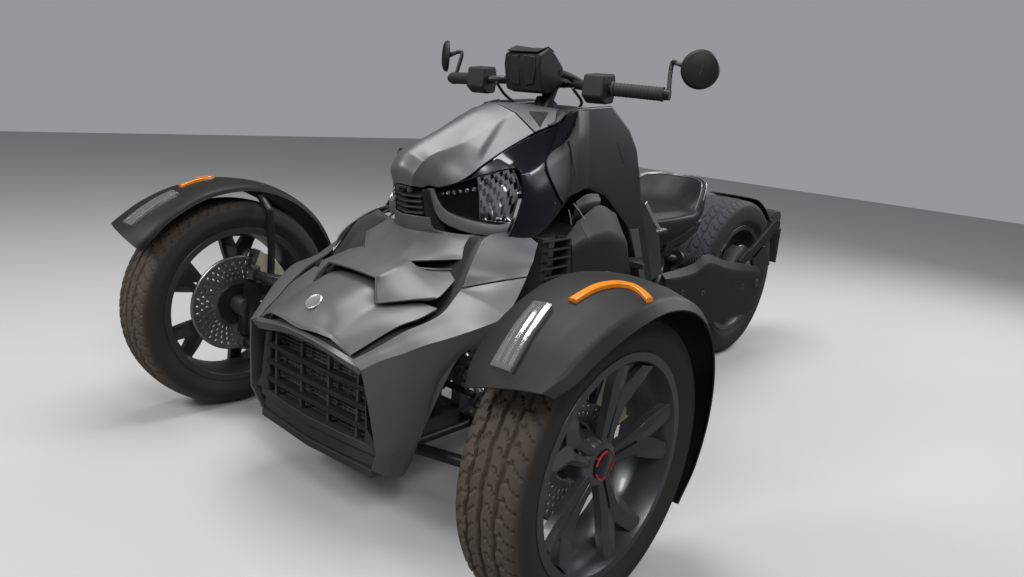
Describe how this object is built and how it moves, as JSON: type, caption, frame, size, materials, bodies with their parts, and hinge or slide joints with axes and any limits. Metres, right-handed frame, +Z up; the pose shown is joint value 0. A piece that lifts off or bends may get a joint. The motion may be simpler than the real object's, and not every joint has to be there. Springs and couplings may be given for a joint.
{
  "type": "motorized trike",
  "caption": "Open three-wheeled motorcycle with two steered front wheels under fenders, a slotted nose, a low seat, handlebars and a single driven rear wheel on a one-sided arm.",
  "frame": {"origin": "middle of the overall box, on the floor", "axes": "+X forward, +Y to the rider's left, +Z up"},
  "size_m": [2.352, 1.509, 1.062],
  "materials": {
    "frame_black": "satin black powder coat",
    "body_grey": "matte dark grey moulded panel",
    "body_black": "matte black moulded plastic",
    "gloss_black": "gloss black panel",
    "radiator_alu": "bare fins",
    "lamp_housing": "dark lamp housing",
    "lamp_lens": "clear lens",
    "fender_lens": "clear and amber lens",
    "red_lens": "red tail lens",
    "engine_metal": "dark casting",
    "exhaust": "dark steel",
    "seat_vinyl": "black textured cover",
    "steel_black": "black painted steel",
    "cast_alloy": "cast alloy",
    "rim_grey": "gunmetal lacquer",
    "disc_steel": "ground steel",
    "tyre": "rubber",
    "grip_rubber": "ribbed rubber"
  },
  "bodies": {
    "chassis": {"frame": "frame_black", "spine_cover": "body_black", "hood": "body_grey", "fascia": "body_grey", "grille": "body_black", "radiator": "radiator_alu", "chin_grille": "body_black", "headlight_housings": "lamp_housing", "headlight_lenses": "lamp_lens", "gloss_panels": "gloss_black", "glove_bin": "body_black", "side_pods": "body_black", "engine": "engine_metal", "muffler": "exhaust", "seat_base": "body_black", "seat_cushion": "seat_vinyl", "foot_pegs": "steel_black", "suspension_arms": "steel_black", "shocks": "steel_black", "swing_arm": "cast_alloy", "swing_cover": "body_black", "tail_arm": "steel_black", "tail_lamp": "red_lens"},
    "glove_lid": {"top_cover": "body_grey"},
    "steering_bars": {"handlebar": "steel_black", "grips": "grip_rubber", "switch_housings": "body_black", "gauge_pod": "body_black", "mirrors": "body_black"},
    "steering_rack": {"tie_rods": "steel_black"},
    "knuckle_l": {"knuckle_left": "cast_alloy", "fender_left": "body_grey", "fender_lamps_left": "fender_lens"},
    "knuckle_r": {"knuckle_right": "cast_alloy", "fender_right": "body_grey", "fender_lamps_right": "fender_lens"},
    "wheel_fl": {"rim_front_left": "rim_grey", "tyre_front_left": "tyre", "disc_front_left": "disc_steel"},
    "wheel_fr": {"rim_front_right": "rim_grey", "tyre_front_right": "tyre", "disc_front_right": "disc_steel"},
    "wheel_rear": {"rim_rear": "rim_grey", "tyre_rear": "tyre", "disc_rear": "disc_steel"}
  },
  "joints": [
    {"name": "steering", "type": "hinge", "parent": "chassis", "child": "steering_bars", "pos_m": [0.3083, 0, 0.94], "axis": [-0.4067, 0, 0.9135], "range_deg": [-28, 28]},
    {"name": "kingpin_left", "type": "hinge", "parent": "chassis", "child": "knuckle_l", "pos_m": [0.8853, 0.545, 0.195], "axis": [-0.0835, -0.094, 0.9921], "range_deg": [-24.1, 24.1]},
    {"name": "kingpin_right", "type": "hinge", "parent": "chassis", "child": "knuckle_r", "pos_m": [0.8853, -0.545, 0.195], "axis": [-0.0835, 0.094, 0.9921], "range_deg": [-24.1, 24.1]},
    {"name": "rack_slide", "type": "slide", "parent": "chassis", "child": "steering_rack", "axis": [0, 1, 0], "range_m": [-0.0425, 0.0425]},
    {"name": "wheel_spin_left", "type": "hinge", "parent": "knuckle_l", "child": "wheel_fl", "pos_m": [0.8833, 0.628, 0.29], "axis": [0, 1, 0], "continuous": true},
    {"name": "wheel_spin_right", "type": "hinge", "parent": "knuckle_r", "child": "wheel_fr", "pos_m": [0.8833, -0.628, 0.29], "axis": [0, 1, 0], "continuous": true},
    {"name": "wheel_spin_rear", "type": "hinge", "parent": "chassis", "child": "wheel_rear", "pos_m": [-0.8257, 0, 0.303], "axis": [0, 1, 0], "continuous": true},
    {"name": "glove_lid_hinge", "type": "hinge", "parent": "chassis", "child": "glove_lid", "pos_m": [0.8093, 0, 0.699], "axis": [0, 1, 0], "range_deg": [0, 60]}
  ],
  "couplings": [
    {"joint": "kingpin_left", "follows": "steering", "ratio": 0.857},
    {"joint": "kingpin_right", "follows": "steering", "ratio": 0.857},
    {"joint": "rack_slide", "follows": "steering", "m_per_rad": -0.0857}
  ]
}
